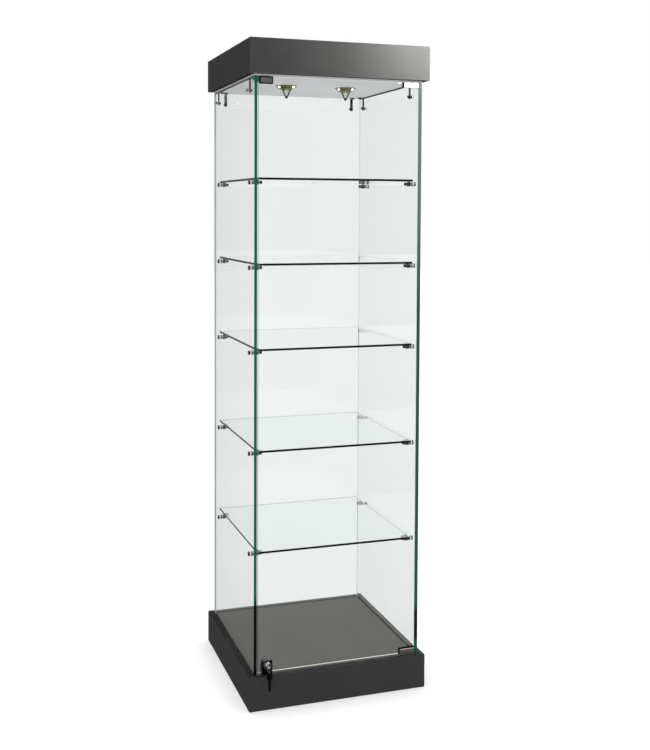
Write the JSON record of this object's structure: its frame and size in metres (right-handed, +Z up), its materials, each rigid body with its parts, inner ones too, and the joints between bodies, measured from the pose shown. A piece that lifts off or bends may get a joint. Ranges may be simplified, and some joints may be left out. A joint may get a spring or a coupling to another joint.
{
  "type": "display case",
  "caption": "Square free-standing glass tower showcase with dark plinth and canopy, glass shelves on chrome studs, pivot-hung glass door, key lock and ceiling downlights.",
  "frame": {"origin": "on the floor, under the middle of the plinth", "axes": "+Z up, -Y out through the door, +X towards the door's hinge side"},
  "size_m": [0.52, 0.5645, 1.83],
  "materials": {
    "laminate_dark": "satin dark grey laminate",
    "laminate_deck": "satin grey laminate",
    "laminate_white": "matt white laminate",
    "timber": "plain sawn softwood",
    "clear_glass": "clear float glass with green polished edges",
    "chrome": "polished",
    "steel": "plain zinc plated",
    "nylon": "natural moulded",
    "clear_plastic": "clear moulded",
    "black_metal": "satin black",
    "black_plastic": "moulded black",
    "brass": "satin",
    "spun_aluminium": "spun",
    "lamp_glass": "clear, lit",
    "black_rubber": "matt"
  },
  "bodies": {
    "case": {"back_pane": "clear_glass", "base_back_rail": "laminate_dark", "base_cleats": "timber", "base_deck": "laminate_deck", "base_front_rail": "laminate_dark", "base_left_rail": "laminate_dark", "base_right_rail": "laminate_dark", "base_screws": "steel", "bolt_strike": "brass", "bracket_bolts": "chrome", "bracket_caps": "chrome", "bracket_screws": "steel", "canopy_back_fascia": "laminate_dark", "canopy_cleats": "timber", "canopy_front_fascia": "laminate_dark", "canopy_left_fascia": "laminate_dark", "canopy_right_fascia": "laminate_dark", "canopy_screws": "steel", "canopy_top_panel": "laminate_dark", "ceiling_panel": "laminate_white", "cord_grommet": "black_rubber", "hinge_pivots": "steel", "lamp_bezels": "brass", "lamp_bulbs": "lamp_glass", "lamp_cones": "lamp_glass", "lamp_cups": "spun_aluminium", "lamp_leads": "black_rubber", "lamp_sockets": "nylon", "lamp_transformer": "black_plastic", "latch_body": "black_plastic", "latch_screws": "steel", "latch_spring": "steel", "left_pane": "clear_glass", "pane_brackets": "chrome", "right_pane": "clear_glass", "shelf_1": "clear_glass", "shelf_2": "clear_glass", "shelf_3": "clear_glass", "shelf_4": "clear_glass", "shelf_5": "clear_glass", "shelf_studs": "chrome", "stud_bushes": "clear_plastic", "stud_caps": "chrome"},
    "door": {"door_pane": "clear_glass", "top_hinge_clamp": "chrome", "bottom_hinge_clamp": "chrome", "hinge_back_plates": "chrome", "hinge_screws": "steel", "hinge_bushes": "nylon", "strike_plate": "black_metal", "lock_housing": "chrome", "lock_back_plate": "chrome", "lock_screws": "steel"},
    "lock_plug": {"lock_plug": "chrome"},
    "lock_bolt": {"lock_bolt": "steel"},
    "door_key": {"door_key": "black_plastic"},
    "key_set": {"key_ring": "steel", "spare_key": "black_plastic"},
    "latch_plunger": {"latch_plunger": "nylon"}
  },
  "joints": [
    {"name": "door_swing", "type": "hinge", "parent": "case", "child": "door", "pos_m": [0.2205, -0.2405, 0.913], "axis": [0, 0, 1], "range_deg": [0, 110]},
    {"name": "plug_turn", "type": "hinge", "parent": "door", "child": "lock_plug", "pos_m": [-0.2085, -0.258, 0.123], "axis": [0, 1, 0], "range_deg": [0, 90]},
    {"name": "bolt_throw", "type": "slide", "parent": "door", "child": "lock_bolt", "axis": [0, 0, -1], "range_m": [0, 0.008]},
    {"name": "key_slide", "type": "slide", "parent": "lock_plug", "child": "door_key", "axis": [0, -1, 0], "range_m": [0, 0.012]},
    {"name": "key_hang", "type": "hinge", "parent": "door_key", "child": "key_set", "pos_m": [-0.2085, -0.2795, 0.123], "axis": [0, 1, 0], "range_deg": [-90, 0]},
    {"name": "latch_press", "type": "slide", "parent": "case", "child": "latch_plunger", "axis": [0, 1, 0], "range_m": [0, 0.003], "stiffness_N_per_m": 300, "deforming": ["latch_spring"]}
  ],
  "couplings": [
    {"joint": "plug_turn", "follows": "bolt_throw", "rad_per_m": 196.35},
    {"joint": "key_hang", "follows": "bolt_throw", "rad_per_m": -196.35}
  ]
}
